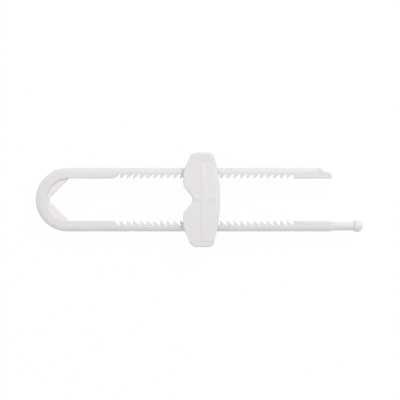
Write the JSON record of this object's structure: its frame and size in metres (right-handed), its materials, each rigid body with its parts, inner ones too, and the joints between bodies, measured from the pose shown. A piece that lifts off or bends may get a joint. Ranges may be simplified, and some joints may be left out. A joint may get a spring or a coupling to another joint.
{
  "type": "sliding cabinet safety lock",
  "caption": "U-shaped toothed shackle with a waisted slider that ratchets along both legs and is released by squeezing its two end buttons.",
  "frame": {"origin": "middle of the lock's length and width on the plane that the slider's back lies on, with the slider at its rest notch", "axes": "+X runs along the legs from the bend to the knob, +Y across to the short leg, +Z out of the ridged front"},
  "size_m": [0.21, 0.0606, 0.016],
  "materials": {
    "shackle_plastic": "moulded white polypropylene with a fine satin texture",
    "slider_plastic": "moulded white ABS, satin",
    "button_plastic": "moulded white ABS, satin",
    "pawl_plastic": "moulded natural acetal",
    "spring_steel": "drawn spring wire"
  },
  "bodies": {
    "shackle": {"shackle": "shackle_plastic"},
    "slider": {"front_cover": "slider_plastic", "back_cover": "slider_plastic", "upper_spring": "spring_steel", "lower_spring": "spring_steel"},
    "upper_release": {"upper_button": "button_plastic", "upper_pawl": "pawl_plastic"},
    "lower_release": {"lower_button": "button_plastic", "lower_pawl": "pawl_plastic"}
  },
  "joints": [
    {"name": "slider_slide", "type": "slide", "parent": "shackle", "child": "slider", "axis": [1, 0, 0], "range_m": [-0.0725, 0.106], "deforming": ["upper_pawl", "lower_pawl"]},
    {"name": "upper_press", "type": "slide", "parent": "slider", "child": "upper_release", "axis": [0, -1, 0], "range_m": [0, 0.0031], "stiffness_N_per_m": 300, "springref_m": -0.004, "deforming": ["upper_spring"]},
    {"name": "lower_press", "type": "slide", "parent": "slider", "child": "lower_release", "axis": [0, 1, 0], "range_m": [0, 0.0031], "stiffness_N_per_m": 300, "springref_m": -0.004, "deforming": ["lower_spring"]}
  ]
}
